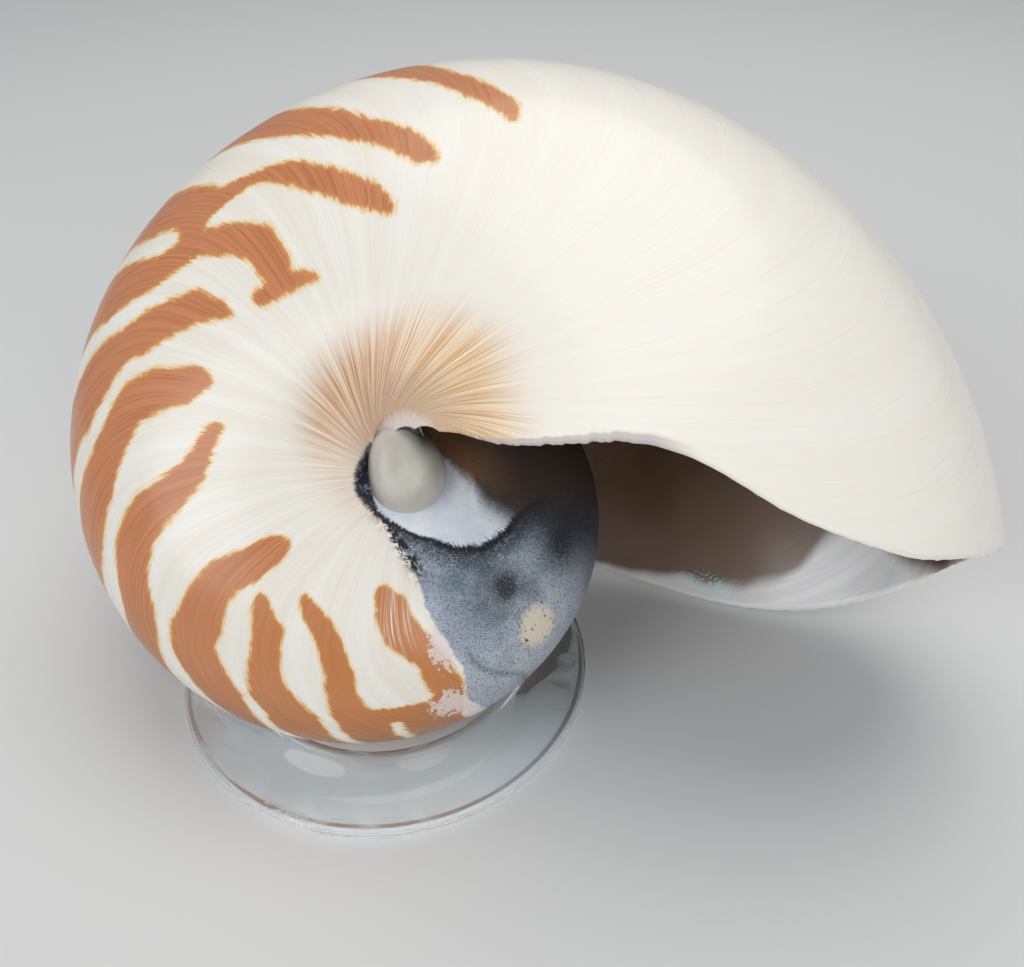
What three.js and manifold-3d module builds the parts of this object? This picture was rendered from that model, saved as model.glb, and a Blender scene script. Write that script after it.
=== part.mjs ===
// A nautilus shell lying in a clear moulded display ring.
//
// Millimetres, +Z up. The shell is first built about its own coiling axis, with the coil in the
// XY plane, and is then tilted back and set down in the ring. The origin is at the middle of the
// underside of the whole object's box.

import * as THREE from 'three';
import { mergeVertices } from 'three/addons/utils/BufferGeometryUtils.js';
import Module from 'manifold-3d';

// ---------------------------------------------------------------- driving dimensions

// Coil: how far the keel lies from the axis, and how quickly that grows with each radian.
const FULL_TURN = 2 * Math.PI;
const KEEL_RADIUS = 108.3;         // at the end of the last full turn
const GROWTH = 0.1267;             // growth of ln(radius) per radian there
const GROWTH_SLOWING = 0.0087;     // the earlier turns grew faster by this much
const FIRST_GROWTH = 0.236;        // steady growth of the turns inside the last one

// Cross-section of the whorl, as shares of the keel radius.
const HALF_BREADTH = 0.3743;
const SHOULDER = 0.365;            // distance from the axis of the broadest place
const KEEL_ROUNDNESS = 0.943;
const FLANK_ROUNDNESS = 0.913;
const SECTION_SWEEP = 2.5;         // radians of the section curve from keel to umbilicus

const WALL = 1.3;
const SEPTUM_ANGLE = THREE.MathUtils.degToRad(229);
const SEPTUM_DEPTH = THREE.MathUtils.degToRad(21);
const SEPTUM_RINGS = [0.75, 0.4];  // rings of the bowl, as shares of its rim
const WHORL_MIDDLE = 0.62;         // middle of the section, as a share of the keel radius
const EXPOSED_FROM = THREE.MathUtils.degToRad(45);
const INNER_COIL_FROM = THREE.MathUtils.degToRad(-144);

// Growth edge: degrees past the full turn, from the keel (0) to the umbilicus (1).
// The near side is broken back beside the umbilicus and the far side is whole.
const LIP_PLACES = [0, 0.12, 0.25, 0.38, 0.5, 0.62, 0.75, 0.88, 1];
const NEAR_LIP = [9.2, 10.2, 13.2, 16, 15, 7.6, 9.8, 10.2, -4];
const FAR_LIP = [9.2, 10.2, 13.2, 16.8, 18.6, 18, 17.8, 20.6, 24];

// Growth edge at the middle of the section, and how far the hollow is cut on beyond the edge.
const MEAN_LIP = THREE.MathUtils.degToRad(12);
const PAST_LIP = THREE.MathUtils.degToRad(14);

// Callus: half widths, and its height above the middle of the coil on each side.
const CALLUS_SIZE = new THREE.Vector3(6.9, 8.9, 23);
const CALLUS_OFFSET = new THREE.Vector2(0.8, -2.2);

// Display ring.
const RING_RADIUS = 42;
const RING_HEIGHT = 7.3;
const RIM_RADIUS = 28.5;
const BORE_RADIUS = 26.9;
const FOOT_BEVEL = 0.6;
const EDGE_HEIGHT = 2.7;           // top of the thin upright outer edge
const NUB_RADIUS = 2;
const NUB_PLACE = new THREE.Vector3(37.8, -1.5, 2);

// Where the shell lies in the ring.
const TILT_BACK = THREE.MathUtils.degToRad(37.7);
const LEAN = THREE.MathUtils.degToRad(-3);
const COIL_CENTRE = new THREE.Vector3(7.6, 10.2, 42.3);

// Fineness of the meshes.
const ANGLE_STEP = THREE.MathUtils.degToRad(9);
const FLANK_STEPS = 14;
const CORE_STEPS = 3;
const RING_SEGMENTS = 56;

const wasm = await Module();
wasm.setup();

// ---------------------------------------------------------------- shell

function keelRadius(angle) {
  const lastTurn = (a) => {
    const past = a - FULL_TURN;
    return KEEL_RADIUS * Math.exp(GROWTH * past - GROWTH_SLOWING * past * past);
  };
  return angle < 0 ? lastTurn(0) * Math.exp(FIRST_GROWTH * angle) : lastTurn(angle);
}

// One side of the section: place 0 is on the keel and place 1 at the umbilicus.
function flankPoint(place) {
  const sweep = place * SECTION_SWEEP;
  if (sweep <= Math.PI / 2) {
    return new THREE.Vector2(
      SHOULDER + (1 - SHOULDER) * Math.cos(sweep) ** KEEL_ROUNDNESS,
      HALF_BREADTH * Math.sin(sweep) ** FLANK_ROUNDNESS,
    );
  }
  return new THREE.Vector2(
    SHOULDER * (1 + Math.cos(sweep)),
    HALF_BREADTH * (0.45 + 0.55 * Math.sin(sweep)),
  );
}

function lipAngle(knots, place) {
  const curve = new THREE.CubicInterpolant(LIP_PLACES, knots, 1);
  return THREE.MathUtils.degToRad(curve.evaluate(place)[0]);
}

// The closed section: out from the keel over the near flank, across beside the axis, and back
// over the far flank. Each point also knows how far past the full turn the lip reaches there.
function sectionLoop() {
  const near = [];
  const far = [];
  for (let i = 0; i <= FLANK_STEPS; i += 1) {
    const place = i / FLANK_STEPS;
    const { x, y } = flankPoint(place);
    near.push({ across: x, side: y, lip: lipAngle(NEAR_LIP, place) });
    far.push({ across: x, side: -y, lip: lipAngle(FAR_LIP, place) });
  }
  const nearEnd = near[FLANK_STEPS];
  const farEnd = far[FLANK_STEPS];
  const core = [];
  for (let i = 1; i < CORE_STEPS; i += 1) {
    const t = i / CORE_STEPS;
    core.push({
      across: nearEnd.across,
      side: THREE.MathUtils.lerp(nearEnd.side, farEnd.side, t),
      lip: THREE.MathUtils.lerp(nearEnd.lip, farEnd.lip, t),
    });
  }
  return [...near, ...core, ...far.slice(1).reverse()];
}

// Section points in millimetres at one keel radius, moved inwards by a wall thickness.
function insetSection(loop, radius, inset) {
  const points = loop.map(({ across, side }) => new THREE.Vector2(across * radius, side * radius));
  return points.map((point, i) => {
    const before = points[(i + points.length - 1) % points.length];
    const after = points[(i + 1) % points.length];
    const along = after.clone().sub(before).normalize();
    return new THREE.Vector2(point.x - along.y * inset, point.y + along.x * inset);
  });
}

function coilPoint(angle, outwards, sideways) {
  return [outwards * Math.cos(angle), -outwards * Math.sin(angle), sideways];
}

// A solid stretch of the coil between two growth angles. past carries it that far beyond the
// lip, and dome pushes its first end back into a bowl.
function coilSolid({ from, to, inset = 0, toLip = false, past = 0, dome = 0 }) {
  const loop = sectionLoop();
  const steps = Math.round((to - from) / ANGLE_STEP);
  const positions = [];
  for (let i = 0; i <= steps; i += 1) {
    const t = i / steps;
    const warp = toLip ? THREE.MathUtils.smoothstep(t, 0.3, 1) : 0;
    const middle = THREE.MathUtils.lerp(from, to, t);
    const section = insetSection(loop, keelRadius(middle), inset);
    section.forEach((point, j) => {
      const angle = middle + warp * (loop[j].lip + past);
      const scale = keelRadius(angle) / keelRadius(middle);
      positions.push(...coilPoint(angle, point.x * scale, point.y * scale));
    });
  }

  const ring = loop.length;
  const index = [];
  for (let i = 0; i < steps; i += 1) {
    for (let j = 0; j < ring; j += 1) {
      const a = i * ring + j;
      const b = i * ring + ((j + 1) % ring);
      index.push(a, b, a + ring, b, b + ring, a + ring);
    }
  }
  const lastLip = toLip ? MEAN_LIP + past : 0;
  closeEnd({ positions, index, ring, base: 0, angle: from, dome: -dome, flip: true });
  closeEnd({ positions, index, ring, base: steps * ring, angle: to + lastLip, dome: 0, flip: false });
  return closedSolid(positions, index);
}

// Closes one end of a coil stretch, flat or as a shallow bowl.
function closeEnd({ positions, index, ring, base, angle, dome, flip }) {
  const radius = keelRadius(angle);
  const centre = new THREE.Vector3(...coilPoint(angle + dome, WHORL_MIDDLE * radius, 0));
  const rings = dome === 0 ? [] : SEPTUM_RINGS;
  let outer = base;
  const join = (a, b, c) => index.push(...(flip ? [a, c, b] : [a, b, c]));
  rings.forEach((share) => {
    const start = positions.length / 3;
    const bulge = dome * share * (1 - share);
    for (let j = 0; j < ring; j += 1) {
      const edge = new THREE.Vector3().fromArray(positions, (base + j) * 3);
      const onCone = centre.clone().lerp(edge, share);
      const onBowl = coilTurned(onCone, bulge);
      positions.push(onBowl.x, onBowl.y, onBowl.z);
    }
    for (let j = 0; j < ring; j += 1) {
      const k = (j + 1) % ring;
      join(outer + j, outer + k, start + j);
      join(outer + k, start + k, start + j);
    }
    outer = start;
  });
  const tip = positions.length / 3;
  positions.push(centre.x, centre.y, centre.z);
  for (let j = 0; j < ring; j += 1) join(outer + j, outer + ((j + 1) % ring), tip);
}

function coilTurned(point, angle) {
  return point.clone().applyAxisAngle(new THREE.Vector3(0, 0, 1), -angle);
}

function shellSolid() {
  const wholeCoil = coilSolid({ from: EXPOSED_FROM, to: FULL_TURN, toLip: true });
  const innerCoil = coilSolid({ from: INNER_COIL_FROM, to: EXPOSED_FROM + ANGLE_STEP });
  const chamber = coilSolid({
    from: SEPTUM_ANGLE,
    to: FULL_TURN,
    inset: WALL,
    toLip: true,
    past: PAST_LIP,
    dome: SEPTUM_DEPTH,
  });
  const callus = new THREE.SphereGeometry(1, 20, 12);
  callus.rotateX(Math.PI / 2);
  callus.scale(CALLUS_SIZE.x, CALLUS_SIZE.y, CALLUS_SIZE.z);
  callus.translate(CALLUS_OFFSET.x, CALLUS_OFFSET.y, 0);
  return wholeCoil.subtract(chamber).add(innerCoil).add(solidOf(callus));
}

// ---------------------------------------------------------------- display ring

function ringProfile() {
  const edge = new THREE.Shape();
  edge.moveTo(BORE_RADIUS + FOOT_BEVEL, 0);
  edge.lineTo(RING_RADIUS - FOOT_BEVEL, 0);
  edge.lineTo(RING_RADIUS, FOOT_BEVEL);
  edge.lineTo(RING_RADIUS, EDGE_HEIGHT - 0.5);
  edge.lineTo(RING_RADIUS - 0.5, EDGE_HEIGHT);
  edge.lineTo(RING_RADIUS - 1.2, EDGE_HEIGHT - 0.2);
  edge.quadraticCurveTo(RIM_RADIUS + 7, 1.9, RIM_RADIUS + 3.4, 4.4);
  edge.quadraticCurveTo(RIM_RADIUS + 1.9, 5.6, RIM_RADIUS + 1.3, RING_HEIGHT - 0.9);
  edge.quadraticCurveTo(RIM_RADIUS + 0.9, RING_HEIGHT, RIM_RADIUS, RING_HEIGHT);
  edge.quadraticCurveTo(RIM_RADIUS - 0.9, RING_HEIGHT, BORE_RADIUS + 0.3, RING_HEIGHT - 1.4);
  edge.quadraticCurveTo(BORE_RADIUS, RING_HEIGHT / 2, BORE_RADIUS, FOOT_BEVEL);
  edge.closePath();
  const points = edge.getPoints(3);
  return points[0].equals(points.at(-1)) ? points : [...points, points[0].clone()];
}

function ringSolid() {
  const ring = new THREE.LatheGeometry(ringProfile(), RING_SEGMENTS);
  ring.rotateX(Math.PI / 2);
  const nub = new THREE.SphereGeometry(NUB_RADIUS, 14, 8);
  nub.translate(NUB_PLACE.x, NUB_PLACE.y, NUB_PLACE.z);
  return solidOf(ring).add(solidOf(nub));
}

// ---------------------------------------------------------------- solids and meshes

function closedSolid(positions, index) {
  return new wasm.Manifold(new wasm.Mesh({
    numProp: 3,
    vertProperties: new Float32Array(positions),
    triVerts: new Uint32Array(index),
  }));
}

function solidOf(geometry) {
  const bare = geometry.clone();
  bare.deleteAttribute('normal');
  bare.deleteAttribute('uv');
  const merged = mergeVertices(bare, 1e-4);
  return closedSolid(merged.attributes.position.array, withoutFlatTriangles(merged.index.array));
}

function withoutFlatTriangles(index) {
  const kept = [];
  for (let i = 0; i < index.length; i += 3) {
    const [a, b, c] = [index[i], index[i + 1], index[i + 2]];
    if (a !== b && b !== c && c !== a) kept.push(a, b, c);
  }
  return kept;
}

function meshOf(solid, name, finish) {
  const { vertProperties, triVerts } = solid.getMesh();
  const geometry = new THREE.BufferGeometry();
  geometry.setAttribute('position', new THREE.BufferAttribute(vertProperties, 3));
  geometry.setIndex(new THREE.BufferAttribute(triVerts, 1));
  geometry.computeVertexNormals();
  const mesh = new THREE.Mesh(geometry, new THREE.MeshStandardMaterial(finish));
  mesh.name = name;
  return mesh;
}

const shell = meshOf(shellSolid(), 'nautilus_shell', {
  color: 0xf2ece0,
  roughness: 0.3,
  metalness: 0,
});
shell.rotation.set(TILT_BACK, LEAN, 0);
shell.position.copy(COIL_CENTRE);

const ring = meshOf(ringSolid(), 'display_ring', {
  color: 0xdfe7ea,
  roughness: 0.08,
  metalness: 0,
  transparent: true,
  opacity: 0.35,
});

const object = new THREE.Group();
object.add(shell, ring);

object.updateMatrixWorld(true);
const box = new THREE.Box3().setFromObject(object, true);
const middle = box.getCenter(new THREE.Vector3());
object.position.set(-middle.x, -middle.y, -box.min.z);

export default object;
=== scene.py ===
import math

import bpy
import numpy as np
from mathutils import Euler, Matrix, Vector


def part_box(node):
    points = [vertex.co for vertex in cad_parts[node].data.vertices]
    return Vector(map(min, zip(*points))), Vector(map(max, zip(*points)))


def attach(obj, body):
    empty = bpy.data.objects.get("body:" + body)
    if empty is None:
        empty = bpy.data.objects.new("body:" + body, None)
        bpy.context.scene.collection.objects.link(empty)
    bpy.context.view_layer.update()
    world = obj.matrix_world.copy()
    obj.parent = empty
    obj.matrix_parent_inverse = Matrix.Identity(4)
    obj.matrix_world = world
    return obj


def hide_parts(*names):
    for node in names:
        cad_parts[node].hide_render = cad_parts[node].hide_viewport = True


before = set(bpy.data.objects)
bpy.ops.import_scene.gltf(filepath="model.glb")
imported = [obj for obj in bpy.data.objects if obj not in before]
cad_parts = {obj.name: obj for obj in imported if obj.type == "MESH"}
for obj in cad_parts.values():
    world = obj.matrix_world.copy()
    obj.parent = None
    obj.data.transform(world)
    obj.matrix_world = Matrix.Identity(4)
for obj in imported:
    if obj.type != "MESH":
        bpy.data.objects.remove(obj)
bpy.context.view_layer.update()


# ---------------------------------------------------------------------------------------------
# The nautilus shell. One grown piece: a striped porcelain-like wall coiled about its umbilicus,
# filmed black where the mouth covers the older coil, with a callus in each umbilicus, lined with
# mother-of-pearl, and closed by a concave septum at the back of the open chamber.

MM = 0.001
KEEL_RADIUS = 107.35
GROWTH, GROWTH_SLOWING, FIRST_GROWTH = 0.1267, 0.0087, 0.236
HALF_BREADTH, SHOULDER = 0.3743, 0.365
KEEL_ROUNDNESS, FLANK_ROUNDNESS, SECTION_SWEEP = 0.943, 0.913, 2.5
WALL, LIP_WALL = 1.3, 1.15
FIRST_ANGLE, SEPTUM_ANGLE, FULL_TURN, LIP_DRAWN_FROM = -140.0, 229.0, 360.0, 150.0
LIP_PLACES = [0, 0.12, 0.25, 0.38, 0.5, 0.62, 0.75, 0.88, 1]
NEAR_LIP = [9.2, 10.2, 13.2, 16, 15, 7.6, 9.8, 10.2, -4]
FAR_LIP = [9.2, 10.2, 13.2, 16.8, 18.6, 18, 17.8, 20.6, 24]

# Where the coil lies, measured from the middle of the display ring's foot.
TILT_BACK, LEAN = math.radians(37.7), math.radians(-3.0)
COIL_CENTRE = Vector((7.6, 10.2, 42.3))

ring_low, ring_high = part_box("display_ring")
ring_centre = Vector(((ring_low.x + ring_high.x) / 2, (ring_low.y + ring_high.y) / 2, ring_low.z))


def keel_radius(degrees):
    past = np.radians(degrees) - 2 * math.pi
    last_turn = GROWTH * past - GROWTH_SLOWING * past**2
    start = GROWTH * (-2 * math.pi) - GROWTH_SLOWING * 4 * math.pi**2
    inner = start + FIRST_GROWTH * np.radians(degrees)
    return KEEL_RADIUS * np.exp(np.where(degrees < 0, inner, last_turn))


def section_curve(place):
    """Share of the keel radius outwards and sideways. Place runs from 0 at the keel to 1 at the
    umbilicus, then to 2 down the umbilical wall; it is negative on the far side."""
    size = np.abs(place)
    sweep = np.minimum(size, 1) * SECTION_SWEEP
    flank = sweep <= math.pi / 2
    cos, sin = np.cos(sweep), np.sin(sweep)
    outwards = np.where(
        flank,
        SHOULDER + (1 - SHOULDER) * np.maximum(cos, 0) ** KEEL_ROUNDNESS,
        SHOULDER * (1 + cos),
    )
    sideways = np.where(flank, sin**FLANK_ROUNDNESS, 0.45 + 0.55 * sin) * HALF_BREADTH
    return outwards, sideways * np.sign(place)


SHELF_STARTS, SHELF_FULL = 185, 262
SHELF_EDGE, SHELF_END, SHELF_REACH, SHELF_DIP = 1.36, 1.4, 0.46, 0.07


def umbilical_shelf(degrees):
    """How far the shelf over the umbilicus has grown, from 0 to 1."""
    return ramp(degrees, SHELF_STARTS, SHELF_FULL)


def umbilical_wall(degrees, place):
    """Shares that draw the surface in over the umbilicus on the later half turn, and straight
    down into it on the earlier half, where place runs past 1."""
    size = np.abs(place)
    shelf = umbilical_shelf(degrees)
    across = ramp(size, 1, SHELF_END)
    drawn_in = 1 - SHELF_REACH * shelf * across
    straight_down = np.clip(2 - size, 0, 1)
    over_the_shelf = 1 - SHELF_DIP * across - (1 - SHELF_DIP) * ramp(size, SHELF_EDGE, 2)
    sunk = (1 - shelf) * straight_down + shelf * over_the_shelf
    return drawn_in, np.where(size > 1, sunk, 1)


def smooth_knots(x, places, values):
    """A smooth curve through a few hand-set knots, flat beyond both ends."""
    places, values = np.asarray(places, float), np.asarray(values, float)
    slopes = np.gradient(values, places)
    x = np.clip(x, places[0], places[-1])
    k = np.clip(np.searchsorted(places, x) - 1, 0, len(places) - 2)
    width = places[k + 1] - places[k]
    t = (x - places[k]) / width
    a, b = values[k], values[k + 1]
    rise_a, rise_b = slopes[k] * width, slopes[k + 1] * width
    return (
        (2 * t**3 - 3 * t**2 + 1) * a
        + (t**3 - 2 * t**2 + t) * rise_a
        + (-2 * t**3 + 3 * t**2) * b
        + (t**3 - t**2) * rise_b
    )


def ramp(x, low, high):
    t = np.clip((x - low) / (high - low), 0, 1)
    return t * t * (3 - 2 * t)


def ripple(x, seed, octaves=4):
    """A gentle repeatable wander along x, between about -1 and 1."""
    total = np.zeros_like(x)
    for octave in range(octaves):
        turn = seed * 12.9898 + octave * 4.1414
        wave = np.sin(x * 1.9**octave + turn) * np.cos(x * 0.73 * 2.1**octave + 2 * turn)
        total += wave * 0.72**octave
    return total / 1.8


BROKEN_FROM, BROKEN_TO, BROKEN_DEPTH = (0.58, 0.66), (0.86, 0.95), 0.75
TUCK_NEAR, TUCK_FAR = 30, 58


def lip_reach(place):
    """Degrees past the full turn that the growth edge reaches, with its broken stretch."""
    size = np.minimum(np.abs(place), 1)
    near = smooth_knots(size, LIP_PLACES, NEAR_LIP)
    far = smooth_knots(size, LIP_PLACES, FAR_LIP)
    broken = ramp(size, *BROKEN_FROM) * (1 - ramp(size, *BROKEN_TO))
    near = near + broken * BROKEN_DEPTH * ripple(size * 95, 3) + 0.12 * ripple(size * 160, 5)
    far = far + 0.10 * ripple(size * 150, 8)
    tucked_back = ramp(np.abs(place), 1, SHELF_EDGE) * np.where(place >= 0, TUCK_NEAR, TUCK_FAR)
    return np.where(place >= 0, near, far) - tucked_back


def coil_points(degrees, outwards, sideways):
    angle = np.radians(degrees)
    return np.stack([outwards * np.cos(angle), -outwards * np.sin(angle), sideways], -1)


# Fineness of the coil: rows run along the growth, and columns run round the section.
ROW_LENGTH = 0.85
flank_places = np.linspace(1, -1, 285)
wall_places = np.concatenate([np.linspace(2, 1.4, 6)[:-1], np.linspace(1.4, 1, 16)[:-1]])
places = np.concatenate([wall_places, flank_places, -wall_places[::-1]])
row_angles = [FIRST_ANGLE]
while row_angles[-1] < FULL_TURN:
    radius_here = float(keel_radius(np.array(row_angles[-1])))
    row_angles.append(row_angles[-1] + math.degrees(ROW_LENGTH / radius_here))
row_angles = np.array(row_angles)


def coil_rows(angles, inset=0.0):
    """Points of the coil's surface, moved inwards by inset, with its last rows drawn out to the
    lip. Returns the points and each point's growth angle."""
    share = ramp(angles, LIP_DRAWN_FROM, FULL_TURN)[:, None]
    degrees = angles[:, None] + share * lip_reach(places)[None, :]
    radius = keel_radius(degrees)
    outwards, sideways = section_curve(places)
    drawn_in, sunk = umbilical_wall(degrees, np.broadcast_to(places, degrees.shape))
    out_mm = outwards[None, :] * radius * drawn_in
    side_mm = sideways[None, :] * radius * sunk
    if np.max(inset) > 0:
        d_out = np.gradient(out_mm, axis=1)
        d_side = np.gradient(side_mm, axis=1)
        length = np.hypot(d_out, d_side) + 1e-9
        out_mm = out_mm + inset * d_side / length
        side_mm = side_mm - inset * d_out / length
    return coil_points(degrees, out_mm, side_mm), degrees


def grid_faces(rows, columns, first=0):
    """Quads of a tube whose rows of points close on themselves."""
    r, c = np.meshgrid(np.arange(rows - 1), np.arange(columns), indexing="ij")
    a = first + r * columns + c
    b = first + r * columns + (c + 1) % columns
    return np.stack([a, b, b + columns, a + columns], -1).reshape(-1, 4)


def cap_faces(first, columns, pole, facing):
    """Triangles from a row of points to a pole; facing -1 turns them over."""
    row = first + np.arange(columns)
    pair = (row, np.roll(row, -1))[::facing]
    return np.stack([*pair, np.full(columns, pole)], -1)


# Outer surface, with low growth rolls that get stronger towards the mouth.
outer_points, outer_degrees = coil_rows(row_angles)
outer_places = np.broadcast_to(places, outer_degrees.shape)
GROWTH_SHIFT_PLACES = [0, 0.1, 0.2, 0.3, 0.45, 0.6, 0.75, 0.85, 0.93, 1]
GROWTH_SHIFT = [-34, -24, -15, -8, -1, 0, -3, -9, -20, -38]


def growth_age(degrees, place):
    """Growth angle of the line that passes through a point: growth lines curve back towards the
    keel and towards the umbilicus."""
    return degrees - smooth_knots(np.minimum(np.abs(place), 1), GROWTH_SHIFT_PLACES, GROWTH_SHIFT)


BROAD_ROLL, FINE_ROLL = 0.045, 0.012
age = growth_age(outer_degrees, outer_places)
roll = ripple(age * 0.42, 11, 5) * BROAD_ROLL * ramp(age, 120, 380) + ripple(age * 2.3, 4, 3) * FINE_ROLL
roll = roll * ramp(outer_degrees, 60, 120) * (np.abs(outer_places) <= 1)
radial = outer_points / np.maximum(np.linalg.norm(outer_points, axis=-1, keepdims=True), 1e-6)
outer_points = outer_points + radial * roll[..., None]

# The mouth's callus lies in a shallow step, cut into both flanks inside the black line round it.
HALO_ANGLES = [10, 18, 22, 27, 35, 47, 56, 65, 75, 83, 92, 101, 119, 137, 155, 175, 195]
HALO_PLACES = [0.40, 0.43, 0.46, 0.49, 0.51, 0.54, 0.57, 0.61, 0.66, 0.70, 0.74, 0.77, 0.82,
               0.853, 0.905, 0.965, 1.0]
DEGREES_PER_PLACE, STEP_DEPTH = 140.0, 1.3


def inside_halo(degrees, place):
    """How far inside the black line a point lies, on the scale of degrees of growth."""
    past_line = np.minimum(np.abs(place), 1) - smooth_knots(degrees, HALO_ANGLES, HALO_PLACES)
    return np.where(degrees > 200, -20, past_line * DEGREES_PER_PLACE)


step = ramp(inside_halo(outer_degrees, outer_places), -0.6, 2.2) * ramp(outer_degrees, 85, 125)
step = step * (1 - ramp(outer_degrees, 180, 199)) * (np.abs(outer_places) <= 1)
outer_points[..., 2] -= STEP_DEPTH * step * np.sign(outer_places)

# Lining: the outer surface moved in by the wall, which thins towards the lip.
lining_angles = row_angles[row_angles >= SEPTUM_ANGLE][::-1]
thin = ramp(lining_angles, 300, FULL_TURN)[:, None]
lining_inset = WALL + (LIP_WALL - WALL) * thin
lining_points, lining_degrees = coil_rows(lining_angles, lining_inset)

# Growth edge: the outer wall's last row rolls over to the lining's first row.
LIP_BULGE = 0.36
edge_rows = []
edge_out = outer_points[-1] - outer_points[-2]
edge_out /= np.linalg.norm(edge_out, axis=-1, keepdims=True)
for t in (0.25, 0.5, 0.75):
    bulge = LIP_BULGE * math.sin(math.pi * t)
    edge_rows.append(outer_points[-1] * (1 - t) + lining_points[0] * t + edge_out * bulge)
edge_points = np.stack(edge_rows)

# Last septum: a bowl between the lining's last row and its middle, with the siphuncle's neck.
SEPTUM_DEPTH, SIPHUNCLE_RADIUS, SIPHUNCLE_DEPTH, WHORL_MIDDLE = 21.0, 2.2, 9.0, 0.62
septum_rim = lining_points[-1]
middle_radius = WHORL_MIDDLE * float(keel_radius(np.array(SEPTUM_ANGLE)))


def turned(points, degrees):
    angle = -np.radians(degrees)
    x = points[..., 0] * np.cos(angle) - points[..., 1] * np.sin(angle)
    y = points[..., 0] * np.sin(angle) + points[..., 1] * np.cos(angle)
    return np.stack([x, y, points[..., 2]], -1)


middle = coil_points(np.array(SEPTUM_ANGLE), middle_radius, 0.0)
to_rim = septum_rim - middle
septum_rows = []
for share in np.linspace(1, 0, 34)[1:-1]:
    swing = np.full(len(places), -SEPTUM_DEPTH * (1 - share**2))
    septum_rows.append(turned(middle + to_rim * share, swing))
direction = to_rim / np.linalg.norm(to_rim, axis=-1, keepdims=True)
for width, back in ((1, -0.4), (0.8, 0.2), (0.75, 4.0), (0.7, SIPHUNCLE_DEPTH)):
    neck = middle + direction * SIPHUNCLE_RADIUS * width
    swing = -SEPTUM_DEPTH - math.degrees(back / middle_radius)
    septum_rows.append(turned(neck, np.full(len(places), swing)))
septum_points = np.stack(septum_rows)
tip_swing = -SEPTUM_DEPTH - math.degrees((SIPHUNCLE_DEPTH + 0.3) / middle_radius)
septum_tip = turned(middle, np.array(tip_swing))

# One closed skin: outer surface, growth edge, lining and septum, capped at both ends.
columns = len(places)
body = np.concatenate([outer_points, edge_points, lining_points, septum_points])
start_middle = outer_points[0].mean(0)
vertices = np.concatenate([body.reshape(-1, 3), septum_tip.reshape(1, 3), start_middle.reshape(1, 3)])
body_faces = grid_faces(len(body), columns)
tip = len(body) * columns
tip_faces = cap_faces(tip - columns, columns, tip, 1)
start_faces = cap_faces(0, columns, tip + 1, -1)

# Callus: the smooth white boss that fills each umbilicus, egg-shaped in plan with its narrow end
# under the growth edge.
CALLUS_MIDDLE, CALLUS_RADIUS, CALLUS_FOOT = (0.3, -4.0), 7.0, 8.0
CALLUS_TOP, CALLUS_TILT, CALLUS_SQUARENESS = 22.3, 0.17, 3.5
NARROW_END, NARROW_REACH, NARROW_WIDTH = math.radians(95), 0.66, 0.78
around = np.linspace(0, 2 * math.pi, 84, endpoint=False)
from_end = np.abs((around - NARROW_END + math.pi) % (2 * math.pi) - math.pi)
plan = CALLUS_RADIUS * (1 + NARROW_REACH * np.exp(-((from_end / NARROW_WIDTH) ** 2)))
plan = plan * (1 + 0.02 * np.sin(3 * around + 0.6))
shares = np.sin(np.linspace(0.03, 1, 40) * math.pi / 2)
heights = (1 - shares**CALLUS_SQUARENESS) ** (1 / CALLUS_SQUARENESS)
callus_rows = []
for share, height in zip(shares, heights):
    y = plan * share * np.sin(around)
    x = plan * share * np.cos(around)
    w = CALLUS_FOOT + (CALLUS_TOP - CALLUS_FOOT) * height + CALLUS_TILT * y * (0.3 + 0.7 * height)
    callus_rows.append(np.stack([CALLUS_MIDDLE[0] + x, CALLUS_MIDDLE[1] + y, w], -1))
callus_rows = np.stack(callus_rows)
other_side = callus_rows[::-1] * np.array([1, 1, -1])
callus = np.concatenate([callus_rows, other_side])
callus_first = len(vertices)
callus_columns = len(around)
callus_poles = callus[[0, -1]].mean(1)
vertices = np.concatenate([vertices, callus.reshape(-1, 3), callus_poles])
callus_faces = grid_faces(len(callus), callus_columns, callus_first)[:, ::-1]
callus_pole = callus_first + len(callus) * callus_columns
callus_caps = np.concatenate([
    cap_faces(callus_first, callus_columns, callus_pole, 1),
    cap_faces(callus_pole - callus_columns, callus_columns, callus_pole + 1, -1),
])

# Painted shade on the callus, where it runs in under the growth edge and into the umbilicus.
callus_share = np.broadcast_to(shares[:, None], callus_rows.shape[:2])
shade_under_edge = np.exp(-(((around - math.radians(60)) / 0.42) ** 2)) * ramp(callus_share, 0.42, 0.80)
shade_by_umbilicus = np.exp(-(((around - math.radians(168)) / 0.85) ** 2)) * ramp(callus_share, 0.72, 0.96)
callus_shade = np.maximum(0.9 * shade_under_edge, shade_by_umbilicus)

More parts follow.
